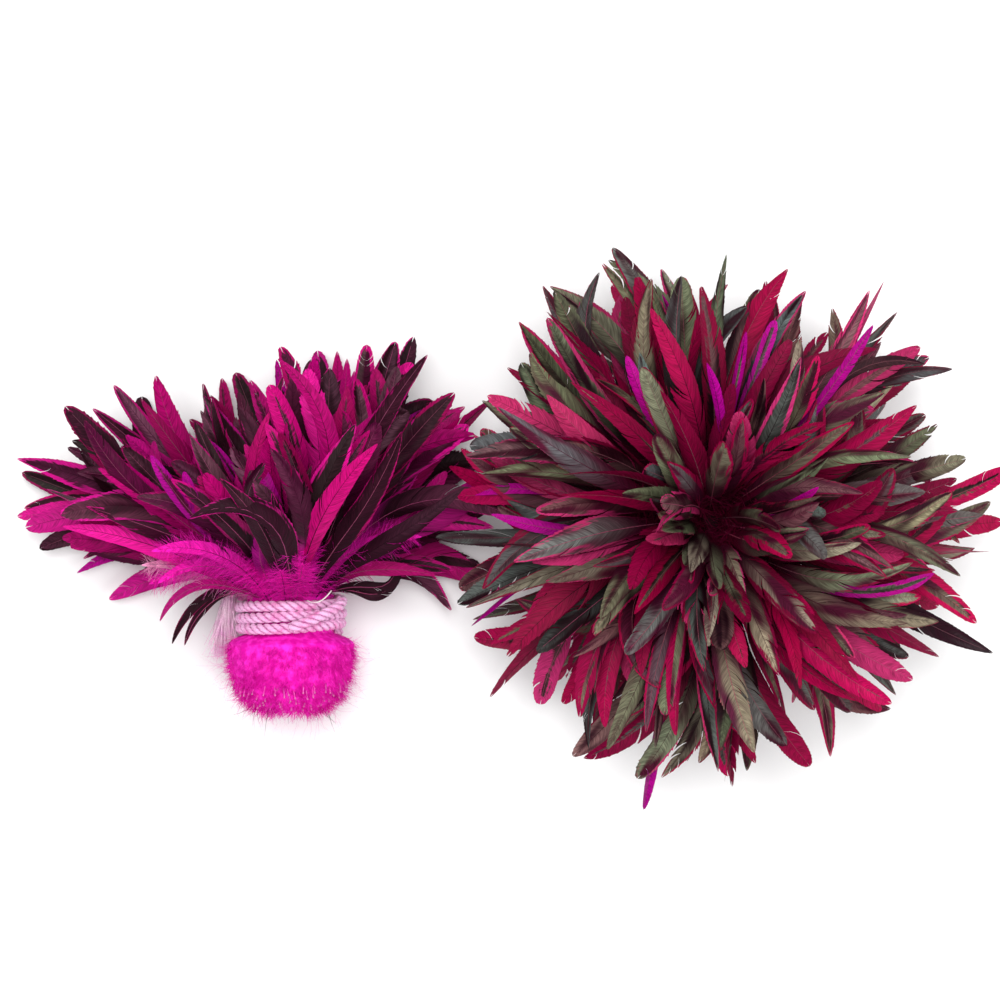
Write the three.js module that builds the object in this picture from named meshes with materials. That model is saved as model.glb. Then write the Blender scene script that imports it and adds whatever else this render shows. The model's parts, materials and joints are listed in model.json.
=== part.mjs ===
// A pair of strung rooster-feather bundles, the trade form of feather boa trim. In each, a strip of
// feathers stitched side by side at their quills is rolled up and bound with a few turns of rope.
// One bundle stands on its quill ends with its feathers spread like a flower. The other lies on its
// side next to it, its feathers fanned out over the surface. Millimetres, +Z up, the origin at the
// centre of the standing bundle's resting face, +X from the lying bundle to the standing one.
import * as THREE from "three";

// Driving dimensions.
const clearance = 0.3; // between pieces that touch
const coreRadius = 2.6; // the first quills, rolled solid
const stripThickness = 4.2; // one turn of stitched quills
const stripEnd = 1; // what the strip thins to over its last turn
const stripTurns = 4.25;
const buttLength = 36; // quill ends below the rope
const stripRim = 1.2; // strip that shows above the rope
const stitchCordDiameter = 0.7;
const ropeDiameter = 5.2;
const ropeTurns = 3.5;
const lapStart = -0.22; // where the rope crosses over its turns, in turns from +X
const lapTurns = 0.14;
const tailLength = 28;
const tailSpread = 5.4; // radius of the frayed end
const rootRadius = 1.5; // half the thickness of a spray where it bends
const tipThickness = 1.2;
const tipNotch = 0.14; // share of a spray's length between its feather tips and the notches
const tipRounding = 0.1; // share by which its edge feathers are shorter
const lyingBesides = 210; // from the standing bundle's axis to the lying one's
const lyingBelow = 97; // from the standing bundle's axis to the lying one's quill ends

// The standing bundle's tiers, from the middle out. Seat is where on the rolled strip the bend is, as
// a share of its radius, lean the angle from the vertical at the root and at the tip, and gather the
// angle by which a spray folds up when the bundle is gathered.
const tiers = [
  { name: "inner", count: 5, seat: 0.23, lean: [12, 50], length: 118, gather: 5 },
  { name: "middle", count: 7, seat: 0.55, lean: [30, 80], length: 124, gather: 13 },
  { name: "outer", count: 8, seat: 0.855, lean: [55, 136], length: 121, gather: 20 },
];
// The lying bundle's layers, from the floor up. Seat is the height of the bend over the axis, as a
// share of the rolled strip's radius, rise the elevation at the root, past the bend and at the tip,
// fan the headings of the two edges from +Y, and press the angle by which a spray folds down when
// the bundle is pressed flat.
const layers = [
  { name: "floor", count: 5, seat: -0.61, rise: [-27, -1, 0], fan: [-90, 88], length: 132, press: 0 },
  { name: "low", count: 6, seat: -0.26, rise: [0, 5, 3], fan: [-86, 72], length: 132, press: 1.5 },
  { name: "mid", count: 5, seat: 0.09, rise: [8, 22, 14], fan: [-78, 34], length: 128, press: 4 },
  { name: "high", count: 4, seat: 0.44, rise: [22, 42, 28], fan: [-64, 26], length: 122, press: 7 },
  { name: "top", count: 2, seat: 0.77, rise: [38, 58, 40], fan: [-36, 12], length: 114, press: 10 },
];
const bendLength = 60; // length over which a lying feather reaches its full rise
const fanShare = 0.88; // share of the rolled strip's width that the roots of a layer take
const fanGap = 0.03; // share of its place in the fan that a spray leaves free at each side
const sideLoss = { left: 0.2, right: 0.32 }; // how much shorter the feathers at the sides lie

// Worked out from them.
const deg = THREE.MathUtils.degToRad;
const ropeRadius = ropeDiameter / 2;
const ropePitch = ropeDiameter + clearance;
const stripGap = stitchCordDiameter + 2 * clearance;
const stripPitch = stripThickness + stripGap;
const tieRadius = coreRadius + stripPitch * stripTurns - (stripThickness - stripEnd);
const turnRadius = tieRadius + clearance + ropeRadius;
const lapRadius = turnRadius + ropePitch;
const ropeBase = buttLength + clearance + ropeRadius;
const ropeEnd = ropeBase + ropeTurns * ropePitch;
const rollHeight = ropeEnd + ropeRadius + stripRim;
const bendHeight = rollHeight + clearance + rootRadius;
// How the quill ends spread below the rope: heights up the roll, each with its share of the radius.
const levels = [
  { height: 0, spread: 1.1 },
  { height: 0.25 * buttLength, spread: 1.28 },
  { height: 0.68 * buttLength, spread: 1.34 },
  { height: buttLength, spread: 1 },
  { height: rollHeight, spread: 1 },
];
const buttRadius = tieRadius * Math.max(...levels.map((level) => level.spread));

const rollSteps = 12; // straight faces in one turn of the strip
const cordSides = 5;
const ropeSteps = 16; // straight faces in one turn of the rope
const ropeSides = 6;
const tailSides = 10;
const rootRows = 2; // rows of faces that round a spray's root
const bladeRows = 5;
const bladeColumns = 6;
const riseSteps = 12;
const tailSwing = 40; // degrees

const quillBrown = new THREE.Color("#7a2c45");
const threadWhite = new THREE.Color("#e8e2dc");
const ropePink = new THREE.Color("#e7a6ad");
const featherReds = ["#a51b3c", "#8c1238", "#b3245a", "#6d1226"];

function material(color, roughness) {
  return new THREE.MeshStandardMaterial({ color, roughness, metalness: 0 });
}

function solid(name, geometry, color, roughness) {
  const mesh = new THREE.Mesh(geometry, material(color, roughness));
  mesh.name = name;
  return mesh;
}

// A line wound about Z, sampled evenly by angle.
class Winding extends THREE.Curve {
  constructor({ start, turns, radiusAt, bottom, top }) {
    super();
    Object.assign(this, { start, turns, radiusAt, bottom, top });
  }
  getPoint(share, target = new THREE.Vector3()) {
    const turn = this.start + share * this.turns;
    const radius = this.radiusAt(turn);
    const angle = 2 * Math.PI * turn;
    const height = THREE.MathUtils.lerp(this.bottom, this.top, share);
    return target.set(radius * Math.cos(angle), radius * Math.sin(angle), height);
  }
  getPointAt(share, target) {
    return this.getPoint(share, target);
  }
  getTangentAt(share, target) {
    return this.getTangent(share, target);
  }
}

function wound(path, diameter, sides, steps) {
  const section = new THREE.Shape();
  section.absarc(0, 0, diameter / 2, 0, 2 * Math.PI);
  const corners = section.getSpacedPoints(sides).slice(0, sides);
  return new THREE.ExtrudeGeometry(new THREE.Shape(corners), { extrudePath: path, steps });
}

// The strip's outer face, by the number of turns from the middle.
function stripOuter(turn) {
  const thinned = Math.max(0, turn - (stripTurns - 1)) * (stripThickness - stripEnd);
  return coreRadius + stripPitch * turn - thinned;
}

function stripInner(turn) {
  return stripOuter(turn - 1) + stripGap;
}

// The rolled strip of quills, solid in its first turn, with its outer end turned towards +Y.
function quillRoll() {
  const turns = [];
  for (let step = 0; step < stripTurns * rollSteps; step++) turns.push(step / rollSteps);
  turns.push(stripTurns);
  const corner = (turn, radius) => {
    const angle = Math.PI / 2 + 2 * Math.PI * (turn - stripTurns);
    return new THREE.Vector2(radius * Math.cos(angle), radius * Math.sin(angle));
  };
  const outer = turns.map((turn) => corner(turn, stripOuter(turn)));
  const inner = turns.filter((turn) => turn >= 1).map((turn) => corner(turn, stripInner(turn)));
  const steps = levels.length - 1;
  const geometry = new THREE.ExtrudeGeometry(new THREE.Shape([...outer, ...inner.reverse()]), {
    depth: steps,
    steps,
    bevelEnabled: false,
  });
  const position = geometry.getAttribute("position");
  for (let i = 0; i < position.count; i++) {
    const { height, spread } = levels[Math.round(position.getZ(i))];
    position.setXYZ(i, spread * position.getX(i), spread * position.getY(i), height);
  }
  return geometry;
}

// The cord that the quills are strung on, between the turns of the strip at one level of the roll.
function stitchCord({ height, spread }) {
  const steps = Math.floor((stripTurns - 1) * rollSteps) - 2;
  const path = new Winding({
    start: 1 / rollSteps,
    turns: steps / rollSteps,
    radiusAt: (turn) => spread * (stripOuter(turn) + stripGap / 2),
    bottom: height,
    top: height,
  });
  const geometry = wound(path, stitchCordDiameter, cordSides, steps);
  return geometry.rotateZ(Math.PI / 2 - 2 * Math.PI * stripTurns);
}

function tieRope() {
  const path = new Winding({
    start: 0,
    turns: ropeTurns,
    radiusAt: () => turnRadius,
    bottom: ropeBase,
    top: ropeEnd,
  });
  return wound(path, ropeDiameter, ropeSides, Math.round(ropeTurns * ropeSteps));
}

// The last stretch of rope, drawn aslant over the turns to lock them.
function tieLap() {
  const path = new Winding({
    start: lapStart,
    turns: lapTurns,
    radiusAt: () => lapRadius,
    bottom: ropeBase + ropePitch,
    top: ropeEnd - ropeRadius,
  });
  return wound(path, ropeDiameter, ropeSides, Math.ceil(2 * lapTurns * ropeSteps));
}

// The frayed rope end, beside the turns on the -X side, its inner side along them.
function tieTail() {
  const geometry = new THREE.CylinderGeometry(ropeRadius, tailSpread, tailLength, tailSides);
  geometry.rotateX(Math.PI / 2);
  geometry.translate(0, 0, -tailLength / 2);
  geometry.rotateY(Math.atan((tailSpread - ropeRadius) / tailLength));
  return geometry.translate(-lapRadius, 0, ropeEnd);
}

// What each bundle holds besides its feathers, standing on its quill ends at the origin.
function core(bundle) {
  const group = new THREE.Group();
  const tail = solid(`${bundle}_tie_tail`, tieTail(), ropePink, 0.9);
  tail.userData.hinge = { at: [-lapRadius, 0, ropeEnd], axis: [0, 1, 0], degrees: tailSwing };
  group.add(
    solid(`${bundle}_quill_roll`, quillRoll(), quillBrown, 0.6),
    solid(`${bundle}_stitch_cord_lower`, stitchCord(levels[1]), threadWhite, 0.8),
    solid(`${bundle}_stitch_cord_upper`, stitchCord(levels[2]), threadWhite, 0.8),
    solid(`${bundle}_tie_rope`, tieRope(), ropePink, 0.9),
    solid(`${bundle}_tie_lap`, tieLap(), ropePink, 0.9),
    tail,
  );
  return group;
}

// A spray of feathers is one thin closed blade with a rounded root and notched tips. The function
// `place` gives the centre point and the two directions of a place on it: how far across, from -1 to
// 1, and how far along from the bend. A place behind the bend is a little way back along the root.
function blade(length, place) {
  const rows = rootRows + bladeRows;
  const geometry = new THREE.BoxGeometry(2, rows, 2, bladeColumns, rows, 1);
  const position = geometry.getAttribute("position");
  const corner = new THREE.Vector3();
  for (let i = 0; i < position.count; i++) {
    corner.fromBufferAttribute(position, i);
    const across = corner.x;
    const side = corner.z;
    const column = Math.round(((across + 1) / 2) * bladeColumns);
    const row = Math.round(corner.y + rows / 2) - rootRows;
    const share = Math.max(0, row / bladeRows);
    const reach = (column % 2 === 1 ? 1 : 1 - tipNotch) - tipRounding * across * across;
    const along = length(across) * share * THREE.MathUtils.lerp(1, reach, share);
    const roundness = (Math.PI / 2) * Math.min(1, 1 + row / (rootRows + 1));
    const half = THREE.MathUtils.lerp(rootRadius, tipThickness / 2, share) * Math.sin(roundness);
    const { centre, ahead, normal } = place(across, along);
    centre.addScaledVector(ahead, -rootRadius * Math.cos(roundness));
    centre.addScaledVector(normal, side * half);
    position.setXYZ(i, centre.x, centre.y, centre.z);
  }
  return geometry;
}

// A point on a tier's arc, as its distance from the axis and its height.
function tierArc({ seat, lean, length }, along, gathered = 0) {
  const [start, end] = lean.map((angle) => deg(angle - gathered));
  const bend = (end - start) / length;
  const angle = start + bend * along;
  return {
    angle,
    distance: seat * tieRadius + (Math.cos(start) - Math.cos(angle)) / bend,
    height: bendHeight + (Math.sin(angle) - Math.sin(start)) / bend,
  };
}

function tierSpray(tier, index) {
  const turn = (2 * Math.PI * (index + 0.5)) / tier.count;
  const outward = new THREE.Vector3(Math.cos(turn), Math.sin(turn), 0);
  const sideways = new THREE.Vector3(-Math.sin(turn), Math.cos(turn), 0);
  const up = new THREE.Vector3(0, 0, 1);
  const geometry = blade(
    () => tier.length,
    (across, along) => {
      const { angle, distance, height } = tierArc(tier, along);
      // The widest that still clears the neighbours when the bundle is gathered.
      const free = tierArc(tier, along, tier.gather).distance - rootRadius;
      const halfWidth = free * Math.tan(Math.PI / tier.count) * (1 - fanGap) - clearance / 2;
      const centre = outward.clone().multiplyScalar(distance).addScaledVector(up, height);
      centre.addScaledVector(sideways, across * halfWidth);
      const ahead = outward.clone().multiplyScalar(Math.sin(angle)).addScaledVector(up, Math.cos(angle));
      return { centre, ahead, normal: new THREE.Vector3().crossVectors(sideways, ahead) };
    },
  );
  const color = featherReds[index % featherReds.length];
  const mesh = solid(`standing_${tier.name}_spray_${index + 1}`, geometry, color, 0.5);
  const at = outward.clone().multiplyScalar(tier.seat * tieRadius).addScaledVector(up, bendHeight);
  const axis = sideways.clone().negate();
  mesh.userData.hinge = { at: at.toArray(), axis: axis.toArray(), degrees: tier.gather };
  return mesh;
}

// How far out a layer's feather is and how high, from its bend, and its elevation there.
function layerArc({ rise, length }, along) {
  const [start, middle, end] = rise.map(deg);
  const elevation = (at) =>
    at < bendLength
      ? THREE.MathUtils.mapLinear(at, 0, bendLength, start, middle)
      : THREE.MathUtils.mapLinear(at, bendLength, length, middle, end);
  let distance = 0;
  let height = 0;
  for (let step = 0; step < riseSteps; step++) {
    const angle = elevation((along * (step + 0.5)) / riseSteps);
    distance += (Math.cos(angle) * along) / riseSteps;
    height += (Math.sin(angle) * along) / riseSteps;
  }
  return { angle: elevation(along), distance, height };
}

// A lying bundle's spray, in a frame with the quill ends at the origin and +Y along the bundle.
function layerSpray(layer, index) {
  const fan = layer.fan.map(deg);
  const halfChord = fanShare * tieRadius * Math.sqrt(1 - layer.seat ** 2);
  const shareAt = (across) => (index + 0.5 + across * (0.5 - fanGap)) / layer.count;
  const headingAt = (across) => THREE.MathUtils.lerp(...fan, shareAt(across));
  const rootAt = (across) => {
    const x = halfChord * (2 * shareAt(across) - 1);
    return new THREE.Vector3(x, bendHeight, buttRadius + layer.seat * tieRadius);
  };
  const up = new THREE.Vector3(0, 0, 1);
  const lengthAt = (across) => {
    const heading = headingAt(across);
    const loss = heading < 0 ? sideLoss.left : sideLoss.right;
    return layer.length * (1 - loss * (heading / (Math.PI / 2)) ** 2);
  };
  const geometry = blade(lengthAt, (across, along) => {
    const heading = headingAt(across);
    const { angle, distance, height } = layerArc(layer, along);
    const outward = new THREE.Vector3(Math.sin(heading), Math.cos(heading), 0);
    const centre = rootAt(across).addScaledVector(outward, distance).addScaledVector(up, height);
    const normal = up.clone().multiplyScalar(Math.cos(angle)).addScaledVector(outward, -Math.sin(angle));
    const ahead = new THREE.Vector3(0, 1, 0);
    return { centre, ahead, normal };
  });
  const color = featherReds[(index + 1) % featherReds.length];
  const mesh = solid(`lying_${layer.name}_spray_${index + 1}`, geometry, color, 0.5);
  const heading = headingAt(0);
  const axis = [Math.cos(heading), -Math.sin(heading), 0];
  mesh.userData.hinge = { at: rootAt(0).toArray(), axis: axis.map((v) => -v), degrees: layer.press };
  return mesh;
}

function standingBundle() {
  const bundle = core("standing");
  for (const tier of tiers) {
    for (let index = 0; index < tier.count; index++) bundle.add(tierSpray(tier, index));
  }
  return bundle;
}

function lyingBundle() {
  const bundle = new THREE.Group();
  const laid = core("lying");
  laid.rotation.x = -Math.PI / 2;
  laid.position.z = buttRadius;
  bundle.add(laid);
  for (const layer of layers) {
    for (let index = 0; index < layer.count; index++) bundle.add(layerSpray(layer, index));
  }
  bundle.position.set(-lyingBesides, -lyingBelow, 0);
  return bundle;
}

const pair = new THREE.Group();
pair.add(standingBundle(), lyingBundle());

export default pair;
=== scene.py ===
"""The looks of a pair of strung rooster-feather bundles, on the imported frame. Metres, +Z up."""
import json
import math

import bpy
import numpy as np
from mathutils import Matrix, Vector


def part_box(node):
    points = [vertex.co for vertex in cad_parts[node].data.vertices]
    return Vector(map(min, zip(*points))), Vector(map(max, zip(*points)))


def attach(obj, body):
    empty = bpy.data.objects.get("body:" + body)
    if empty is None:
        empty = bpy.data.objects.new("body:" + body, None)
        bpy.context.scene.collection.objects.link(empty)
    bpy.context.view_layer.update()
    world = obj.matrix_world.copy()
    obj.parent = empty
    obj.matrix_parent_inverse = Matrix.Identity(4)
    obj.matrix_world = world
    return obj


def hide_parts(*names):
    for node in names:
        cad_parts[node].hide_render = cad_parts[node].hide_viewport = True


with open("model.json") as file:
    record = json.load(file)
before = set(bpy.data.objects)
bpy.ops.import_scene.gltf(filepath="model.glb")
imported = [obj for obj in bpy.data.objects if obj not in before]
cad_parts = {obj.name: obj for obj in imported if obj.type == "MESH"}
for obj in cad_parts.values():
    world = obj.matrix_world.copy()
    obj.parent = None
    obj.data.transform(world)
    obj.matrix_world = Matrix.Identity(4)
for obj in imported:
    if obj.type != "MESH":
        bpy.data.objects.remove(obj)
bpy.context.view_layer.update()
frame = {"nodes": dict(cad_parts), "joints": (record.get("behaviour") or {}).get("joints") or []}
MM = 0.001
UP = np.array((0.0, 0.0, 1.0))
SEED = 20
FLOOR_GAP = 0.2 * MM  # under the lowest point

# ---- the frame's own sizes

ROPE_DIAMETER = 5.2 * MM
CLEARANCE = 0.3 * MM  # between the rope and the neck, and between its turns


def draws(*keys):
    return np.random.default_rng((SEED, *keys))


def corners(node):
    low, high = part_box(node)
    return np.array(low), np.array(high)


class Bundle:
    """Where a bundle stands or lies. Its own frame has the quill ends at the origin and +Z along it."""

    def __init__(self, name, lying):
        self.name = name
        self.lying = lying
        roll_low, roll_high = corners(f"{name}_quill_roll")
        rope_low, rope_high = corners(f"{name}_tie_rope")
        middle = (rope_low + rope_high) / 2
        along = 1 if lying else 2
        self.length = roll_high[along] - roll_low[along]
        self.rope_from = rope_low[along] - roll_low[along]
        self.rope_to = rope_high[along] - roll_low[along]
        self.tie_radius = (rope_high[0] - rope_low[0]) / 2
        self.neck_radius = self.tie_radius - ROPE_DIAMETER - CLEARANCE
        self.origin = np.array((middle[0], middle[1], 0.0))
        if lying:
            self.origin = np.array((middle[0], roll_low[1], middle[2]))

    def turned(self, directions):
        directions = np.asarray(directions, float)
        if self.lying:
            directions = np.stack([directions[..., 0], directions[..., 2], -directions[..., 1]], -1)
        return directions

    def world(self, points):
        return self.turned(points) + self.origin


standing = Bundle("standing", False)
lying = Bundle("lying", True)
joint_of = {joint["child"]: joint for joint in frame["joints"]}

# ---- camera, floor and lights

PHOTO_SPAN = 0.5  # what the picture's width takes in at the feathers' height
CAMERA_HEIGHT = 1.5
FEATHER_HEIGHT = 0.05
PICTURE_CENTRE = (-0.104, 0.01)
LIGHTS_AIM = (*PICTURE_CENTRE, 0.04)
FLOOR_SIZE = 6.0  # half a side
FLOOR_HEIGHT = -0.3 * MM
FLOOR_WHITE = (0.93, 0.93, 0.93, 1)
WORLD_STRENGTH = 0.62


def link(thing):
    bpy.context.scene.collection.objects.link(thing)


def add_camera():
    data = bpy.data.cameras.new("camera")
    camera = bpy.data.objects.new("camera", data)
    link(camera)
    camera.location = (*PICTURE_CENTRE, CAMERA_HEIGHT)
    data.lens = data.sensor_width * (CAMERA_HEIGHT - FEATHER_HEIGHT) / PHOTO_SPAN
    data.clip_start = 0.05
    bpy.context.scene.camera = camera
    bpy.context.scene.view_settings.view_transform = "Standard"


def add_light(name, location, size, power):
    data = bpy.data.lights.new(name, "AREA")
    data.size = size
    data.energy = power
    light = bpy.data.objects.new(name, data)
    light.location = location
    aim = Vector(LIGHTS_AIM) - Vector(location)
    light.rotation_euler = aim.to_track_quat("-Z", "Y").to_euler()
    link(light)


def add_stage():
    square = [(x * FLOOR_SIZE, y * FLOOR_SIZE, 0) for x, y in ((-1, -1), (1, -1), (1, 1), (-1, 1))]
    mesh = bpy.data.meshes.new("floor")
    mesh.from_pydata(square, [], [(0, 1, 2, 3)])
    floor = bpy.data.objects.new("floor", mesh)
    floor.location.z = FLOOR_HEIGHT
    link(floor)
    material = bpy.data.materials.new("floor")
    material.use_nodes = True
    shader = material.node_tree.nodes["Principled BSDF"]
    shader.inputs["Base Color"].default_value = FLOOR_WHITE
    shader.inputs["Roughness"].default_value = 0.9
    shader.inputs["Specular IOR Level"].default_value = 0.1
    mesh.materials.append(material)
    world = bpy.data.worlds.new("world")
    world.use_nodes = True
    sky = world.node_tree.nodes["Background"]
    sky.inputs["Color"].default_value = (1, 1, 1, 1)
    sky.inputs["Strength"].default_value = WORLD_STRENGTH
    bpy.context.scene.world = world


# ---- meshes

CELL_MARGIN = 0.02  # of a cell's side, left free on each side


class Shape:
    """Points and faces being gathered for one piece, with two maps and colours at each point. The first
    map is read by the material. The second lays every feather or group of fibres on its own cell of an
    image, for baking."""

    def __init__(self):
        self.points, self.maps = [], []
        self.quads, self.triangles = [np.zeros((0, 4), int)], [np.zeros((0, 3), int)]
        self.colours = {"dye": [], "ground": [], "gloss": [], "base": []}
        self.cells = []
        self.cell = (0.0, 0.0, 1.0, 1.0)
        self.count = 0

    def use_cell(self, index, total, tallness=1.0):
        """Shares the image out to a number of cells, and takes the one at an index."""
        columns = math.ceil(math.sqrt(total * tallness))
        rows = math.ceil(total / columns)
        self.cell = (index % columns / columns, index // columns / rows, 1 / columns, 1 / rows)

    def add(self, points, maps, quads=(), triangles=(), places=None, **colours):
        """Places are from 0 to 1 across and up the cell in use."""
        points = np.asarray(points, float).reshape(-1, 3)
        total = len(points)
        places = np.asarray(maps if places is None else places, float).reshape(-1, 2)
        places = CELL_MARGIN + (1 - 2 * CELL_MARGIN) * places
        self.cells.append(np.array(self.cell[:2]) + places * np.array(self.cell[2:]))
        self.points.append(points)
        self.maps.append(np.asarray(maps, float).reshape(-1, 2))
        self.quads.append(np.asarray(quads, int).reshape(-1, 4) + self.count)
        self.triangles.append(np.asarray(triangles, int).reshape(-1, 3) + self.count)
        for key, values in self.colours.items():
            value = np.asarray(colours.get(key, (0, 0, 0, 0)), float)
            values.append(np.broadcast_to(value, (total, 4)))
        self.count += total

    def build(self, name, material):
        points = np.concatenate(self.points)
        points[:, 2] = np.maximum(points[:, 2], FLOOR_GAP)
        quads, triangles = np.concatenate(self.quads), np.concatenate(self.triangles)
        mesh = bpy.data.meshes.new(name)
        mesh.vertices.add(len(points))
        mesh.vertices.foreach_set("co", points.astype(np.float32).ravel())
        corners_of = np.concatenate([quads.ravel(), triangles.ravel()]).astype(np.int32)
        mesh.loops.add(len(corners_of))
        mesh.loops.foreach_set("vertex_index", corners_of)
        mesh.polygons.add(len(quads) + len(triangles))
        starts = np.concatenate([np.arange(len(quads)) * 4, quads.size + np.arange(len(triangles)) * 3])
        mesh.polygons.foreach_set("loop_start", starts.astype(np.int32))
        mesh.update(calc_edges=True)
        mesh.polygons.foreach_set("use_smooth", np.full(len(mesh.polygons), True))
        for map_name, values in (("vane", self.maps), ("OFBake", self.cells)):
            layer = mesh.uv_layers.new(name=map_name)
            layer.data.foreach_set("uv", np.concatenate(values)[corners_of].astype(np.float32).ravel())
        for key, values in self.colours.items():
            attribute = mesh.color_attributes.new(key, "FLOAT_COLOR", "POINT")
            attribute.data.foreach_set("color", np.concatenate(values).astype(np.float32).ravel())
        mesh.materials.append(material)
        piece = bpy.data.objects.new(name, mesh)
        link(piece)
        return piece


def grid_quads(rows, columns, closed=False):
    """Faces of a grid of points, rows by columns. A closed grid's last column joins its first."""
    across = columns if closed else columns - 1
    row, column = np.meshgrid(np.arange(rows - 1), np.arange(across), indexing="ij")
    following = (column + 1) % columns
    quads = [row * columns + column, row * columns + following]
    quads += [(row + 1) * columns + following, (row + 1) * columns + column]
    return np.stack(quads, -1).reshape(-1, 4)


def cap_triangles(rows, columns):
    """Two fans that close the ends of a closed grid, round two points that come after the grid's own."""
    column = np.arange(columns)
    following = (column + 1) % columns
    end = (rows - 1) * columns
    middle = np.full(columns, rows * columns)
    fans = [(middle, following, column), (middle + 1, end + column, end + following)]
    return np.concatenate([np.stack(fan, -1) for fan in fans])


def unit(vectors):
    return vectors / np.maximum(np.linalg.norm(vectors, axis=-1, keepdims=True), 1e-9)


def around(angle, radius=1.0, height=0.0):
    """Points at an angle, a radius and a height round the +Z axis."""
    height = np.broadcast_to(height, np.shape(angle))
    return np.stack([radius * np.cos(angle), radius * np.sin(angle), height], -1)


def run_along(points):
    return np.concatenate([[0], np.cumsum(np.linalg.norm(np.diff(points, axis=0), axis=1))])


def sideways_frames(points):
    """Two directions across a line of points, at each of them, that turn as little as they can."""
    tangents = unit(np.gradient(points, axis=0))
    first = np.cross(tangents[0], UP if abs(tangents[0][2]) < 0.9 else (1.0, 0, 0))
    across = [first / np.linalg.norm(first)]
    for tangent in tangents[1:]:
        carried = across[-1] - tangent * across[-1].dot(tangent)
        across.append(carried / np.linalg.norm(carried))
    across = np.array(across)
    return across, np.cross(tangents, across)


def tube(
    shape, points, radii, sides, ridges=(0, 0.0, 0.0), capped=True, strip=(0.0, 1.0), axis=None, **colours
):
    """A tube along a line of points. Ridges, given as their number, depth and turn, wind round it as the
    yarns of a strand do. The strip is the part of the cell's width that it takes. If an axis is given, as
    a point for each of the line's, the dye's fourth value tells how far the surface stands out from it."""
    points = np.asarray(points, float)
    rows = len(points)
    across, upright = sideways_frames(points)
    run = run_along(points)
    angle = np.linspace(0, 2 * np.pi, sides, endpoint=False)[None, :]
    number, depth, turn = ridges
    radius = np.broadcast_to(np.asarray(radii, float), (rows,))[:, None]
    radius = radius * (1 + depth * np.cos(number * (angle - turn * run[:, None])))
    ring = points[:, None] + radius[..., None] * (
        np.cos(angle)[..., None] * across[:, None] + np.sin(angle)[..., None] * upright[:, None]
    )
    share = np.broadcast_to((run / run[-1])[:, None], radius.shape)
    turned = np.broadcast_to(strip[0] + (strip[1] - strip[0]) * angle / (2 * np.pi), radius.shape)
    if axis is not None:
        distance = np.linalg.norm(ring - np.asarray(axis)[:, None], axis=-1)
        outstanding = (distance / distance.max()).reshape(-1, 1)
        if capped:
            outstanding = np.concatenate([outstanding, [[0.5], [0.5]]])
        colours["dye"] = np.c_[np.tile(colours["dye"][:3], (len(outstanding), 1)), outstanding]
    ring = ring.reshape(-1, 3)
    maps = np.stack([share, np.abs(np.broadcast_to(angle, radius.shape) / np.pi - 1)], -1).reshape(-1, 2)
    places = np.stack([turned, share], -1).reshape(-1, 2)
    quads = grid_quads(rows, sides, closed=True)[:, ::-1]
    triangles = []
    if capped:
        ring = np.concatenate([ring, points[:1], points[-1:]])
        maps = np.concatenate([maps, [(0, 0)], [(1, 0)]])
        places = np.concatenate([places, [(strip[1], 0)], [(strip[1], 1)]])
        triangles = cap_triangles(rows, sides)[:, ::-1]
    shape.add(ring, maps, quads, triangles, places, **colours)


# ---- feathers

BARB_PLACES = np.array((0.0, 0.36, 0.7, 0.95))  # along a barb, before its point
BARB_SLANT = 1.5  # how far forward a barb reaches, for each half-width of the vane
TIP_SLANT = 0.35  # the same, at the feather's tip
ROOT_DEPTH = 7 * MM  # how far inside the neck a feather starts
CLUMPS = 40  # of barbs, on each side of a feather
MOST_SPLITS = 4
SPLIT_SPREAD = math.radians(2.6)
SHAFT_THICKNESS = np.array((0.55, 0.32, 0.07)) * MM  # at the root, where the vane starts and at the tip
VANE_STRIP, FLUFF_STRIP, SHAFT_STRIP = (0.01, 0.87), (0.89, 0.94), (0.95, 1.0)  # of a cell's width
FEATHER_TALLNESS = 4.5  # of a feather's cell, for its width


def smooth(values):
    values = np.clip(values, 0, 1)
    return values * values * (3 - 2 * values)


class Spine:
    """A feather's shaft, from its root: where it is, its direction, its side and its face."""

    STEPS = 28

    def __init__(self, root, length, leans, headings, knee=0.45, roll=0.0, twist=0.0):
        share = np.linspace(0, 1, self.STEPS)
        lean = np.interp(share, (0, knee, 1), leans)
        heading = np.interp(share, (0, knee, 1), headings)
        lean, heading = (
            np.convolve(np.pad(angle, 2, mode="edge"), np.ones(5) / 5, "valid") for angle in (lean, heading)
        )
        outward = around(heading)
        ahead = outward * np.sin(lean)[:, None] + UP * np.cos(lean)[:, None]
        middle = (ahead[1:] + ahead[:-1]) / 2
        step = length / (self.STEPS - 1)
        self.length = length
        self.share = share
        travelled = np.concatenate([np.zeros((1, 3)), np.cumsum(middle * step, axis=0)])
        self.points = np.asarray(root) + travelled
        face = -outward * np.cos(lean)[:, None] + UP * np.sin(lean)[:, None]
        side = np.cross(ahead, face)
        turn = (roll + twist * share)[:, None]
        self.ahead = ahead
        self.side = side * np.cos(turn) + face * np.sin(turn)
        self.face = face * np.cos(turn) - side * np.sin(turn)

    def at(self, share, what):
        values = getattr(self, what)
        return np.stack([np.interp(share, self.share, values[:, k]) for k in range(3)], -1)


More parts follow.
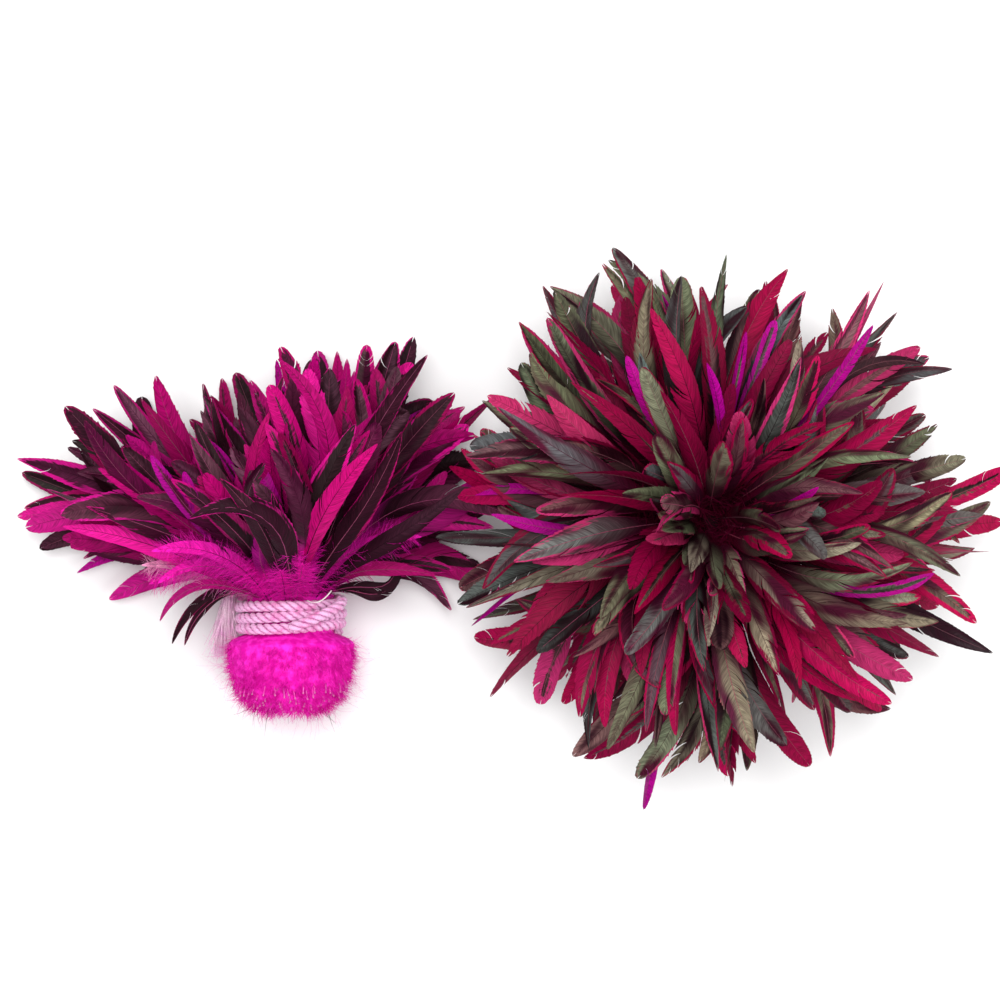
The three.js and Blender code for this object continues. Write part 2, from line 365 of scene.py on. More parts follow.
def add_vane(shape, spine, rng, width, bare, tip, camber, ragged, colours):
    """The flat of a feather: on each side of its shaft, clumps of barbs that part here and there. The
    width is the half-width. The vane starts at the bare share of the shaft's length. The tip is how long
    the taper is, in half-widths, and how round: 1 is pointed, 2 an ellipse."""
    taper, roundness = tip
    lobe = rng.uniform(0, 6)
    end = spine.length + TIP_SLANT * width

    def barbs(along, swing, places, side):
        grown = (along - bare) / (1 - bare)
        slant = BARB_SLANT + (TIP_SLANT - BARB_SLANT) * smooth((grown - 0.5) / 0.5)
        reached = along * spine.length + slant * width
        in_taper = np.clip((reached - end) / (taper * width) + 1, 0, 1)
        breadth = width * (1 - in_taper**roundness) ** (1 / roundness)
        breadth = breadth * (0.5 + 0.5 * smooth(grown / 0.45))
        breadth = breadth * (0.95 + 0.05 * np.sin(9 * grown + lobe))
        angle = np.arctan2(breadth, slant * width)
        out = np.hypot(breadth, slant * width)[:, None] * places
        bend = (angle + swing)[:, None] * (1.12 - 0.3 * places) / 0.82
        bend = bend * (1 - 0.18 * places)
        forward = out * np.cos(bend)
        aside = out * np.sin(bend)
        sunk = -camber * aside**2 / width - 0.05 * aside
        return (
            spine.at(along, "points")[:, None]
            + forward[..., None] * spine.at(along, "ahead")[:, None]
            + aside[..., None] * spine.at(along, "side")[:, None] * side
            + sunk[..., None] * spine.at(along, "face")[:, None]
        )

    for side in (-1, 1):
        share = np.linspace(bare, 1.0, CLUMPS + 1)
        total_splits = rng.integers(1, MOST_SPLITS + 1)
        splits = np.sort(rng.choice(np.arange(3, CLUMPS - 1), size=total_splits, replace=False))
        clump = np.arange(CLUMPS)
        part = np.searchsorted(splits, clump, side="right")
        starts = np.concatenate([[0], splits])
        sizes = np.concatenate([splits, [CLUMPS]]) - starts
        spread = SPLIT_SPREAD * ragged * rng.uniform(0.2, 1.6, len(starts))
        swings = [
            spread[part] * (2 * (clump + edge - starts[part]) / sizes[part] - 1) for edge in (0, 1)
        ]
        near = barbs(share[:-1], swings[0], BARB_PLACES, side)
        far = barbs(share[1:], swings[1], BARB_PLACES, side)
        middle = (share[:-1] + share[1:]) / 2
        tips = barbs(middle, (swings[0] + swings[1]) / 2, np.array((1.0,)), side)[:, 0]
        roots = spine.at(middle, "points")
        tips = roots + (tips - roots) * (1.0 + ragged * rng.uniform(-0.07, 0.045, CLUMPS))[:, None]
        points = np.concatenate([near, far, tips[:, None]], axis=1)
        row = len(BARB_PLACES)
        maps = np.empty((CLUMPS, 2 * row + 1, 2))
        maps[:, :row, 0] = share[:-1, None]
        maps[:, row:-1, 0] = share[1:, None]
        maps[:, -1, 0] = middle
        maps[..., 1] = np.concatenate([BARB_PLACES, BARB_PLACES, [1.0]]) * side
        base = (clump * (2 * row + 1))[:, None]
        quads = np.concatenate([base + np.array([[k, k + 1, row + k + 1, row + k]]) for k in range(row - 1)])
        triangles = base + np.array([[row - 1, 2 * row, 2 * row - 1]])
        if side > 0:
            quads, triangles = quads[:, ::-1], triangles[:, ::-1]
        across = VANE_STRIP[0] + (VANE_STRIP[1] - VANE_STRIP[0]) * (maps[..., 1] + 1) / 2
        places = np.stack([across, (maps[..., 0] - bare) / (1 - bare)], -1)
        shape.add(points, maps, quads, triangles, places, **colours)


def add_fluff(shape, spine, rng, count, reach, from_share, to_share, colour, width=0.4 * MM):
    """Loose downy barbs along part of a shaft. The dye's and the base's fourth values keep the vane's
    rim, and the base colour and painted shade at its root, off them."""
    share = rng.uniform(from_share, to_share, count)
    side = rng.choice((-1.0, 1.0), count)[:, None]
    angle = rng.uniform(0.5, 1.25, count)[:, None]
    directions = spine.at(share, "ahead") * np.cos(angle) + spine.at(share, "side") * side * np.sin(angle)
    directions = unit(directions + spine.at(share, "face") * rng.normal(0, 0.35, (count, 1)))
    lengths = reach * rng.uniform(0.5, 1.1, count)
    lengths = lengths * (0.55 + 0.45 * np.sin(np.pi * (share - from_share) / (to_share - from_share)))
    tone = np.asarray(colour) * rng.uniform(0.6, 1.15, (count, 1))
    add_fibres(
        shape, spine.at(share, "points"), directions, lengths, width, rng,
        curl=0.22, strip=FLUFF_STRIP, dye=np.c_[tone, np.full(count, -1.0)], base=(0, 0, 0, -1),
    )


def add_feather(shape, spine, rng, width, bare, tip, camber, ragged, colours, fluff=0):
    add_vane(shape, spine, rng, width, bare, tip, camber, ragged, colours)
    stations = np.linspace(0, 0.985, 16)
    thickness = np.interp(stations, (0, bare, 1), SHAFT_THICKNESS)
    shaft = colours["shaft"]
    line = spine.at(stations, "points")
    tube(shape, line, thickness, 5, capped=False, strip=SHAFT_STRIP, dye=(*shaft, -1.0), base=(*shaft, 0))
    if fluff:
        add_fluff(shape, spine, rng, fluff, width * 1.5, bare * 0.3, 0.4, colours["base"][:3])


# Feather colours, as linear light: the dyes, the dark grounds left in the middle of a vane, the painted
# sheens (painted highlights) on them and how strong they are, the down at the base, and the share of feathers
# dyed all over.
CRIMSON = dict(
    dyes=[(0.34, 0.001, 0.054), (0.24, 0.0, 0.036), (0.42, 0.02, 0.11), (0.17, 0.0, 0.028)],
    grounds=[(0.04, 0.002, 0.011), (0.012, 0.001, 0.004), (0.056, 0.004, 0.018), (0.026, 0.002, 0.008)],
    painted_sheens=[(0.19, 0.23, 0.13), (0.31, 0.29, 0.19), (0.13, 0.165, 0.15), (0.22, 0.11, 0.11)],
    painted_sheen_level=0.84, base=(0.09, 0.0, 0.018), dyed_share=0.34,
)
MAGENTA = dict(
    dyes=[(0.4, 0.001, 0.125), (0.52, 0.004, 0.2), (0.24, 0.0, 0.066), (0.36, 0.0, 0.12)],
    grounds=[(0.038, 0.001, 0.014), (0.012, 0.001, 0.004), (0.056, 0.001, 0.022), (0.02, 0.001, 0.007)],
    painted_sheens=[(0.2, 0.045, 0.095), (0.3, 0.11, 0.18), (0.09, 0.075, 0.07), (0.16, 0.03, 0.08)],
    painted_sheen_level=0.38, base=(0.88, 0.006, 0.42), dyed_share=0.3,
)
VIVID = (0.36, 0.0, 0.2)
VIVID_SHARE = 0.05
VIVID_WIDTH = 0.42  # of a usual feather's
TINT = 0.22  # how far a colour's brightness varies; each channel varies a third of it besides


def tinted(rng, colour):
    tone = rng.uniform(1 - TINT, 1 + TINT)
    return np.asarray(colour) * tone * rng.uniform(1 - TINT / 3, 1 + TINT / 3, 3)


def feather_colours(rng, palette, dyed_share, painted_sheen_level=1.0):
    """Colours of one feather. The fourth values are where the dyed rim starts, the feather's own
    number for its patterns, how much of the ground the painted sheen takes, and how far up the base goes."""
    dye, ground, gloss = (
        tinted(rng, palette[kind][rng.integers(len(palette[kind]))])
        for kind in ("dyes", "grounds", "painted_sheens")
    )
    draw = rng.random()
    if draw < dyed_share:
        rim, painted_sheen_amount = rng.uniform(-0.5, 0.3), 0.5
    elif draw < dyed_share + (1 - dyed_share) * 0.6:
        rim, painted_sheen_amount = rng.uniform(0.55, 0.95), rng.uniform(0.3, 1.0)
    else:
        rim, painted_sheen_amount = rng.uniform(1.0, 1.3), rng.uniform(0.4, 1.0)
    shaft = dye * 0.6 + 0.05 if rng.random() < 0.6 else ground
    return dict(
        dye=(*dye, rim), ground=(*ground, rng.random()), gloss=(*gloss, painted_sheen_amount * palette["painted_sheen_level"] * painted_sheen_level),
        base=(*tinted(rng, palette["base"]), rng.uniform(0.28, 0.48)), shaft=tuple(shaft),
    )


def add_any_feather(shape, spine, rng, widths, bare, palette, fluff):
    """One feather of the bundle's usual mix: now and then a narrow vivid one."""
    width = rng.uniform(*widths) * MM
    vivid = rng.random() < VIVID_SHARE
    if vivid:
        width = width * VIVID_WIDTH
    colours = feather_colours(rng, palette, 1.0 if vivid else palette["dyed_share"])
    if vivid:
        colours["dye"] = (*tinted(rng, VIVID), colours["dye"][3])
    tip = rng.uniform(3.2, 7.0), rng.choice((1.3, 1.5, 1.8, 2.1))
    camber, ragged = rng.uniform(-0.3, 0.6), rng.choice((0.6, 1.2, 2.2), p=(0.4, 0.4, 0.2))
    add_feather(shape, spine, rng, width, bare, tip, camber, ragged, colours, fluff)


# ---- materials

ROPE_PINK = (0.88, 0.48, 0.76, 1)
ROPE_STAIN = (0.74, 0.2, 0.47, 1)
# Painted shade in the grooves between the rope's strands.
ROPE_GROOVE_SHADE = (0.42, 0.06, 0.26, 1)
CUT_QUILL = (0.75, 0.35, 0.5, 1)
THREAD_DARK, THREAD_LIGHT = (0.62, 0.5, 0.52, 1), (0.86, 0.8, 0.8, 1)


class Nodes:
    """A short way to write a material's nodes."""

    def __init__(self, name):
        self.material = bpy.data.materials.new(name)
        self.material.use_nodes = True
        self.tree = self.material.node_tree
        self.shader = self.tree.nodes["Principled BSDF"]

    def new(self, kind, **settings):
        node = self.tree.nodes.new(kind)
        for key, value in settings.items():
            setattr(node, key, value)
        return node

    def put(self, socket, value):
        if isinstance(value, bpy.types.NodeSocket):
            self.tree.links.new(value, socket)
        else:
            socket.default_value = value

    def fed(self, kind, values, **settings):
        node = self.new(kind, **settings)
        for socket, value in zip(node.inputs, values):
            self.put(socket, value)
        return node.outputs[0]

    def maths(self, operation, *values):
        return self.fed("ShaderNodeMath", values, operation=operation)

    def ramp(self, *values):
        """From a value and its low and high ends, and the low and high results if they aren't 0 and 1."""
        return self.fed("ShaderNodeMapRange", values, interpolation_type="SMOOTHSTEP")

    def vector(self, *values):
        return self.fed("ShaderNodeCombineXYZ", values)

    def noise(self, vector, scale=1.0, detail=2.0):
        node = self.new("ShaderNodeTexNoise")
        self.put(node.inputs["Vector"], vector)
        node.inputs["Scale"].default_value = scale
        node.inputs["Detail"].default_value = detail
        return node.outputs["Fac"]

    def mix(self, share, first, second, blend_type="MIX"):
        node = self.new("ShaderNodeMix", data_type="RGBA", blend_type=blend_type)
        self.put(node.inputs[0], share)
        self.put(node.inputs[6], first)
        self.put(node.inputs[7], second)
        return node.outputs[2]

    def attribute(self, name):
        node = self.new("ShaderNodeAttribute", attribute_name=name)
        return node.outputs["Color"], node.outputs["Alpha"]

    def map_places(self):
        node = self.new("ShaderNodeUVMap", uv_map="vane")
        parts = self.new("ShaderNodeSeparateXYZ")
        self.put(parts.inputs[0], node.outputs[0])
        return parts.outputs[0], parts.outputs[1]

    def position(self):
        return self.new("ShaderNodeTexCoord").outputs["Object"]

    def bump(self, height, distance, strength):
        node = self.new("ShaderNodeBump")
        node.inputs["Strength"].default_value = strength
        node.inputs["Distance"].default_value = distance
        self.put(node.inputs["Height"], height)
        self.put(self.shader.inputs["Normal"], node.outputs[0])

    def finish(self, colour, roughness, **fixed):
        self.put(self.shader.inputs["Base Color"], colour)
        self.put(self.shader.inputs["Roughness"], roughness)
        for key, value in fixed.items():
            self.shader.inputs[key.replace("_", " ")].default_value = value
        return self.material


def feather_material():
    n = Nodes("dyed_vane")
    along, signed = n.map_places()
    across = n.maths("ABSOLUTE", signed)
    dye, rim = n.attribute("dye")
    ground, number = n.attribute("ground")
    gloss, painted_sheen_amount = n.attribute("gloss")
    own = n.maths("MULTIPLY", number, 60.0)

    def pattern(along_scale, across_scale, detail=1.0):
        place = n.maths("MULTIPLY", along, along_scale), n.maths("MULTIPLY", signed, across_scale), own
        return n.noise(n.vector(*place), detail=detail)

    barbs = pattern(260.0, 1.6)
    streaks = pattern(62.0, 1.3, 3.0)
    patches = pattern(3.4, 0.9)
    wander = pattern(4.5, 3.0)
    edge = n.maths("MAXIMUM", across, n.ramp(along, 0.95, 1.02))
    edge = n.maths("ADD", edge, n.maths("MULTIPLY", n.maths("SUBTRACT", streaks, 0.5), 0.5))
    edge = n.maths("ADD", edge, n.maths("MULTIPLY", n.maths("SUBTRACT", wander, 0.5), 1.1))
    in_rim = n.ramp(n.maths("SUBTRACT", edge, rim), -0.09, 0.09)
    base, reach = n.attribute("base")
    # Painted sheen: lighter greenish, cream or purplish patches over the dark ground, mostly towards the tip,
    # stand in for the feathers' glossy highlight.
    painted_sheen_mask = n.maths("MULTIPLY", n.ramp(patches, 0.36, 0.6), n.ramp(along, 0.32, 0.8))
    painted_sheen_mask = n.maths("MULTIPLY", painted_sheen_mask, n.ramp(streaks, 0.3, 0.62, 0.72, 1.0))
    painted_sheen_mask = n.maths("MULTIPLY", painted_sheen_mask, painted_sheen_amount)
    middle = n.mix(painted_sheen_mask, ground, gloss)
    stained = n.maths("MULTIPLY", n.ramp(streaks, 0.42, 0.72, 0.0, 0.6), n.ramp(along, 0.4, 1.0, 1.0, 0.45))
    colour = n.mix(in_rim, middle, n.mix(stained, dye, ground))
    from_root = n.maths("SUBTRACT", along, reach)
    colour = n.mix(n.ramp(from_root, -0.14, 0.06, 1.0, 0.0), colour, base)
    shade = n.maths("MULTIPLY", n.ramp(barbs, 0.25, 0.75, 0.6, 1.35), n.ramp(streaks, 0.3, 0.7, 0.88, 1.1))
    # Darker towards the root: partly the feathers' own darker base, partly painted shade where they go down
    # into the bundle.
    shade = n.maths("MULTIPLY", shade, n.ramp(from_root, -0.1, 0.42, 0.5, 1.05))
    colour = n.mix(1.0, colour, n.vector(shade, shade, shade), "MULTIPLY")
    n.bump(barbs, 0.25 * MM, 0.6)
    roughness = n.ramp(streaks, 0.3, 0.7, 0.4, 0.6)
    return n.finish(colour, roughness, Specular_IOR_Level=0.07)


def fibre_material():
    n = Nodes("down")
    along, _ = n.map_places()
    dye, _ = n.attribute("dye")
    ground, _ = n.attribute("ground")
    mottle = n.noise(n.position(), scale=260.0, detail=2.0)
    colour = n.mix(n.ramp(mottle, 0.38, 0.66), ground, dye)
    # Painted shade: each fibre darkens towards its ground colour at the root, where it goes into the mass.
    colour = n.mix(n.ramp(along, 0.0, 0.5, 0.4, 0.0), colour, ground)
    return n.finish(colour, 0.7, Specular_IOR_Level=0.1)


def rope_material():
    n = Nodes("twisted_cotton")
    dye, outstanding = n.attribute("dye")
    ground, _ = n.attribute("ground")
    place = n.position()
    dirt = n.noise(place, scale=170.0, detail=3.0)
    fine = n.noise(place, scale=2200.0, detail=2.0)
    colour = n.mix(n.ramp(dirt, 0.44, 0.72), dye, ground)
    # Painted shade: darker where the surface lies close to the rope's line, in the grooves between the
    # strands.
    colour = n.mix(n.ramp(outstanding, 0.62, 0.88, 0.85, 0.0), colour, ROPE_GROOVE_SHADE)
    colour = n.mix(1.0, colour, n.vector(*[n.ramp(fine, 0.3, 0.7, 0.78, 1.06)] * 3), "MULTIPLY")
    n.bump(fine, 0.2 * MM, 0.7)
    return n.finish(colour, 0.85, Specular_IOR_Level=0.2, Sheen_Weight=0.2)


def quill_material():
    n = Nodes("quill_horn")
    along, _ = n.map_places()
    dye, _ = n.attribute("dye")
    ground, _ = n.attribute("ground")
    streak = n.noise(n.position(), scale=500.0, detail=2.0)
    colour = n.mix(n.ramp(streak, 0.35, 0.7), dye, ground)
    colour = n.mix(n.ramp(along, 0.8, 1.0, 0.0, 0.6), colour, CUT_QUILL)
    return n.finish(colour, n.ramp(streak, 0.3, 0.7, 0.2, 0.36), Specular_IOR_Level=0.6, Coat_Weight=0.2)


def thread_material():
    n = Nodes("cotton_thread")
    twist = n.noise(n.position(), scale=3000.0, detail=2.0)
    colour = n.mix(n.ramp(twist, 0.3, 0.7), THREAD_DARK, THREAD_LIGHT)
    n.bump(twist, 0.1 * MM, 0.5)
    return n.finish(colour, 0.8, Specular_IOR_Level=0.2)


vane_look = feather_material()
down_look = fibre_material()
rope_look = rope_material()
quill_look = quill_material()
thread_look = thread_material()

# ---- feathers that stand out of the mass

# By the spray they belong to: where the root is, from the spray's bend or the lying bundle's neck (mm);
# the headings and the rises of the root, the middle and the tip (degrees); the length and the
# half-width (mm); and what is seen: the dye, a rim of it, the bare ground or a downy plume.
# A lying feather's headings are from the bundle's own line, to its right; a standing one's are from +X.
HEROES = {
    "lying_top_spray_1": [
        ((3, -8, 16), (2, -4, -122), (64, 58, -12), 120, 10.0, "rim"),
        ((0, -8, 14), (-4, -14, -46), (62, 56, 34), 112, 8.2, "rim"),
        ((-8, -8, 13), (-50, -80, -160), (50, 34, 0), 74, 3.0, "dye"),
        ((-9, -8, 15), (-14, -54, -104), (58, 40, 0), 84, 6.5, "plume"),
        ((-10, -8, 12), (-20, -70, -128), (46, 30, -8), 70, 6.0, "plume"),
        ((1, -8, 17), (-5, 8, 24), (54, 60, 64), 54, 4.0, "plume"),
    ],
    "lying_top_spray_2": [
        ((4, -8, 14), (10, 26, 46), (58, 48, 22), 128, 7.4, "dye"),
        ((7, -8, 12), (26, 40, 22), (52, 42, 20), 128, 8.2, "rim"),
        ((10, -8, 12), (40, 60, 52), (40, 34, 10), 112, 6.0, "ground"),
        ((9, -8, 12), (18, 58, 92), (42, 26, 2), 80, 5.0, "plume"),
        ((4, -8, 16), (8, 20, 12), (58, 64, 60), 48, 4.0, "plume"),
        ((-1, -8, 17), (0, 2, -8), (60, 64, 60), 40, 3.0, "plume"),
        ((5, -8, 14), (12, 20, -52), (42, 38, 20), 156, 6.0, "dye"),
        ((8, -8, 14), (20, 24, 40), (40, 34, 16), 160, 7.0, "rim"),
    ],
    "lying_high_spray_1": [
        ((-16, -4, 6), (-60, -130, -165), (30, 10, -24), 52, 2.8, "rim"),
        ((-14, -4, 4), (-50, -125, -160), (34, 12, -30), 62, 3.0, "rim"),
        ((-14, -6, 8), (-50, -66, -84), (44, 26, 4), 112, 8.6, "dye"),
        ((-16, -4, 6), (-46, -84, -112), (26, 12, -8), 58, 4.5, "plume"),
        ((-15, -6, 9), (-40, -72, -96), (38, 22, 0), 66, 5.5, "pale"),
    ],
    "lying_high_spray_4": [
        ((15, -4, 4), (60, 100, -60), (14, 2, 6), 56, 4.4, "ground"),
        ((13, -4, 2), (60, 110, 20), (10, 0, 4), 48, 4.0, "ground"),
        ((13, -4, 8), (40, 84, 104), (34, 6, -14), 66, 6.0, "dye"),
    ],
    "standing_outer_spray_1": [
        ((0, 0, 0), (44, 66, -16), (30, 16, -4), 122, 3.6, "ground"),
    ],
    "standing_outer_spray_8": [
        ((0, 0, 0), (-20, -30, -22), (22, -8, -20), 138, 8.5, "ground"),
    ],
}
HERO_FLUFF = dict(count=620, reach=14 * MM, from_share=0.03, to_share=0.97, width=0.22 * MM)
RIM_STARTS = {"dye": -0.4, "rim": 0.85, "ground": 1.3, "plume": -0.6, "pale": -0.6}
DARKEST = (0.016, 0.001, 0.006)
PLUMES = {"plume": (0.92, 0.01, 0.46), "pale": (0.95, 0.36, 0.62)}


def add_hero(shape, rng, origin, hero, palette):
    offset, headings, rises, length, width, seen = hero
    turns = [math.radians(90 - turn if palette is MAGENTA else turn) for turn in headings]
    leans = [math.radians(90 - rise) for rise in rises]
    spine = Spine(origin + np.array(offset) * MM, length * MM, leans, turns, knee=0.5)
    # The singled-out feathers get a weaker painted sheen.
    colours = feather_colours(rng, palette, 0.5, painted_sheen_level=0.3)
    colours["dye"] = (*colours["dye"][:3], RIM_STARTS[seen])
    colours["ground"] = (*DARKEST, colours["ground"][3])
    colours["base"] = (*colours["base"][:3], 0.12)
    if seen in PLUMES:
        colours["dye"] = (*PLUMES[seen], RIM_STARTS[seen])
        colours["base"] = (*PLUMES[seen], 0.5)
        add_fluff(shape, spine, rng, colour=PLUMES[seen], **HERO_FLUFF)
    add_feather(
        shape, spine, rng, width * MM, bare=0.1, tip=(7.0, 1.4), camber=0.2, ragged=0.7, colours=colours
    )


def add_heroes(shape, rng, node, origin, palette, count):
    """The singled-out feathers of a spray, on the cells after those of its own count of feathers."""
    heroes = HEROES.get(node, ())
    for place, hero in enumerate(heroes, count):
        shape.use_cell(place, count + len(heroes), FEATHER_TALLNESS)
        add_hero(shape, rng, origin, hero, palette)


# ---- the standing bundle's feathers

# Leans from the vertical (degrees) at the root, the middle and the tip, of a tier's steepest feather and
# of its flattest, with their lengths (mm). Each spray overlaps its neighbours.
TIERS = {
    "inner": dict(sprays=5, count=13, steep=(5, 14, 24), flat=(18, 50, 82), lengths=(98, 128), fluff=70),
    "middle": dict(sprays=7, count=15, steep=(24, 50, 76), flat=(44, 76, 104), lengths=(126, 134), fluff=40),
    "outer": dict(sprays=8, count=19, steep=(50, 82, 100), flat=(66, 108, 138), lengths=(128, 132), fluff=0),
}
TIER_OVERLAP, LAYER_OVERLAP = 1.5, 1.2


def standing_spray(tier, index):
    settings = TIERS[tier]
    node = f"standing_{tier}_spray_{index}"
    rng = draws(len(tier), index)
    bend = np.array(joint_of[node]["pos_m"])
    seat = math.hypot(bend[0], bend[1])
    heading = math.atan2(bend[1], bend[0])
    sector = 2 * math.pi / settings["sprays"] * TIER_OVERLAP
    tilt, sweep = rng.normal(0, 6), rng.normal(0, 0.26)
    shape = Shape()
    total = settings["count"] + len(HEROES.get(node, ()))
    for place in range(settings["count"]):
        shape.use_cell(place, total, FEATHER_TALLNESS)
        across = (place + rng.uniform(0.0, 1.0)) / settings["count"] - 0.5
        turn = heading + sector * across
        distance = seat + rng.uniform(-2.5, 2.0) * MM
        root = around(turn, distance, bend[2] - ROOT_DEPTH)
        turn = turn + rng.normal(0, 0.12)
        flatness = rng.random()
        leans = []
        for steep, flat in zip(settings["steep"], settings["flat"]):
            lean = steep + (flat - steep) * flatness + tilt * math.sin(math.radians(flat))
            leans.append(math.radians(lean + rng.normal(0, 4)))
        lobes = 0.92 + 0.04 * math.sin(3 * turn + 1.0) + 0.05 * math.sin(7 * turn + 2.5)
        length = np.interp(flatness, (0, 1), settings["lengths"]) * lobes * MM * rng.uniform(0.76, 1.07)
        veer = sweep + rng.normal(0, 0.34)
        spine = Spine(
            root, length, leans, (turn, turn + veer * 0.4, turn + veer * 1.6),
            roll=rng.normal(0, 0.4), twist=rng.normal(0, 0.5),
        )
        add_any_feather(shape, spine, rng, (6.8, 10.4), 0.16, CRIMSON, settings["fluff"])
    add_heroes(shape, rng, node, bend, CRIMSON, settings["count"])
    piece = shape.build(f"{node}_feathers", vane_look)
    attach(piece, node)
    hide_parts(node)


# ---- the lying bundle's feathers

# Rises from the ground (degrees) at the root, the middle and the tip; lengths in mm; the fan is how far
# a layer's headings spread; and the floor's seat is how low it leaves the neck, for the neck's radius.
LAYERS = {
    "floor": dict(sprays=5, count=12, rises=(-24, -1, 0), length=140, fan=178, fluff=20, seat=-0.61),
    "low": dict(sprays=6, count=11, rises=(0, 6, 2), length=140, fan=158, fluff=20),
    "mid": dict(sprays=5, count=11, rises=(8, 24, 4), length=136, fan=112, fluff=60),
    "high": dict(sprays=4, count=10, rises=(24, 42, 8), length=128, fan=96, fluff=110),
    "top": dict(sprays=2, count=10, rises=(44, 54, 12), length=118, fan=60, fluff=160),
}
FLOOR_HEADINGS = (-90, 88)
REACH_HEADINGS = (-95, -64, -41, -18, 0, 22, 45, 70, 90)  # from the bundle's own line
REACH_SHARES = (0.84, 1.04, 0.88, 0.78, 0.87, 1.0, 0.9, 0.8, 0.68)


def lying_spray(layer, index):
    settings = LAYERS[layer]
    node = f"lying_{layer}_spray_{index}"
    rng = draws(100 + len(layer), index)
    share = (index - 0.5) / settings["sprays"]
    if node in joint_of:
        bend = np.array(joint_of[node]["pos_m"])
        axis = joint_of[node]["axis"]
        heading = math.atan2(axis[1], -axis[0])
        body = node
    else:
        chord = 0.88 * lying.neck_radius * math.sqrt(1 - settings["seat"] ** 2)
        height = settings["seat"] * lying.neck_radius
        bend = lying.world((chord * (2 * share - 1), -height, lying.length))
        heading = math.radians(np.interp(share, (0, 1), FLOOR_HEADINGS))
        body = "lying_core"
    sector = math.radians(settings["fan"]) / settings["sprays"] * LAYER_OVERLAP
    shape = Shape()
    total = settings["count"] + len(HEROES.get(node, ()))
    for place in range(settings["count"]):
        shape.use_cell(place, total, FEATHER_TALLNESS)
        across = (place + 0.5 + rng.uniform(-0.4, 0.4)) / settings["count"] - 0.5
        turn = heading + sector * across
        root = bend + (rng.uniform(-2.5, 2.5) * MM, -ROOT_DEPTH, rng.uniform(-1.5, 1.5) * MM)
        root[0] += (bend[0] - lying.origin[0]) * 0.15 * across
        shift = rng.normal(0, 6.0) if layer != "floor" else abs(rng.normal(0, 1.5))
        leans = np.radians(90 - np.array(settings["rises"]) - shift * np.array((0.3, 0.8, 1.3)))
        veer = rng.normal(0, 0.5)
        reach = np.interp(math.degrees(turn), REACH_HEADINGS, REACH_SHARES)
        length = settings["length"] * reach * MM * rng.uniform(0.7, 1.06)
        headings = [math.pi / 2 - angle for angle in (0.35 * turn, turn * 0.97, turn * 1.03 + veer)]
        spine = Spine(
            root, length, leans, headings, knee=0.4, roll=rng.normal(0, 0.35), twist=rng.normal(0, 0.4)
        )
        add_any_feather(shape, spine, rng, (7.4, 11.6), 0.14, MAGENTA, settings["fluff"])
    add_heroes(shape, rng, node, lying.world((0, 0, lying.length)), MAGENTA, settings["count"])
    piece = shape.build(f"{node}_feathers", vane_look)
    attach(piece, body)
    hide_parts(node)


# ---- the rolls and their ties

HOT_DOWN = (1.0, 0.026, 0.62)
# The down's deeper tone, which also stands in for the shade among its fibres: partly its own colour, partly
# painted shade.
DEEP_DOWN_AND_SHADE = (0.72, 0.003, 0.37)
# Near black for the top of the standing bundle's mass, inside the ring of feathers: painted shade in the pit.
PAINTED_PIT_SHADE = (0.022, 0.0, 0.005)
# The outline of the quill ends below the tie: radii for the neck's, at shares of the height to the tie.
BUTT_SHARES = (0.0, 0.05, 0.2, 0.5, 0.78, 0.94, 1.0)
BUTT_FACTORS = (0.5, 0.8, 1.12, 1.34, 1.42, 1.42, 1.3)


def noise_at(points, scale, seed):
    """Smooth noise from -1 to 1, by waves in fixed odd directions."""
    rng = draws(seed)
    directions = unit(rng.normal(size=(7, 3)))
    phases = rng.uniform(0, 2 * np.pi, 7)
    pitches = rng.uniform(0.6, 1.7, 7)
    waves = np.sin((points @ directions.T) * pitches * 2 * np.pi / scale + phases)
    return waves.sum(-1) / 4


def butt_radius_at(bundle, height):
    """Radius of the mass of quills and down, by the height above its lowest end."""
    below = np.interp(height / bundle.rope_from, BUTT_SHARES, BUTT_FACTORS)
    heights = bundle.rope_from, bundle.rope_from + 3.2 * MM, bundle.rope_to - 2 * MM, bundle.length
    above = np.interp(height, heights, (BUTT_FACTORS[-1], 0.97, 0.97, 0.6))
    return bundle.neck_radius * np.where(height > bundle.rope_from, above, below)


def add_mass(bundle):
    """The close-packed down under the loose fibres: one lumpy closed surface."""
    rows, columns = 52, 90
    heights = np.linspace(0.3 * MM, bundle.length - 1 * MM, rows)
    angles = np.linspace(0, 2 * np.pi, columns, endpoint=False)
    height, angle = np.meshgrid(heights, angles, indexing="ij")
    radius = butt_radius_at(bundle, height)
    points = around(angle, radius, height)
    lumps = noise_at(points.reshape(-1, 3), 9 * MM, 1).reshape(rows, columns)
    lumps = lumps + 0.5 * noise_at(points.reshape(-1, 3), 4 * MM, 2).reshape(rows, columns)
    loose = np.where(height < bundle.rope_from - 2 * MM, 1.0, 0.25)
    points[..., :2] *= (1 + (lumps * 0.9 - 1.2) * MM * loose / radius)[..., None]
    points = points.reshape(-1, 3)
    ends = np.array([(0, 0, heights[0]), (0, 0, heights[-1])])
    maps = np.full((len(points) + 2, 2), 0.5)
    points = np.concatenate([points, ends])
    inside = points[:, 2:] > bundle.rope_to
    # Above the tie the mass takes one colour: painted pit shade in the standing bundle, the deep down colour
    # in the lying one.
    inner = DEEP_DOWN_AND_SHADE if bundle.lying else PAINTED_PIT_SHADE
    opaque = np.ones((len(points), 1))
    shape = Shape()
    # Below the tie the mass is mottled between hot pink and the deep down colour, partly painted shade.
    shape.add(
        bundle.world(points), maps, grid_quads(rows, columns, closed=True), cap_triangles(rows, columns),
        dye=np.hstack([np.where(inside, inner, HOT_DOWN), opaque]),
        ground=np.hstack([np.where(inside, inner, DEEP_DOWN_AND_SHADE), opaque]),
    )
    piece = shape.build(f"{bundle.name}_packed_down", down_look)
    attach(piece, f"{bundle.name}_core")
    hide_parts(f"{bundle.name}_quill_roll")


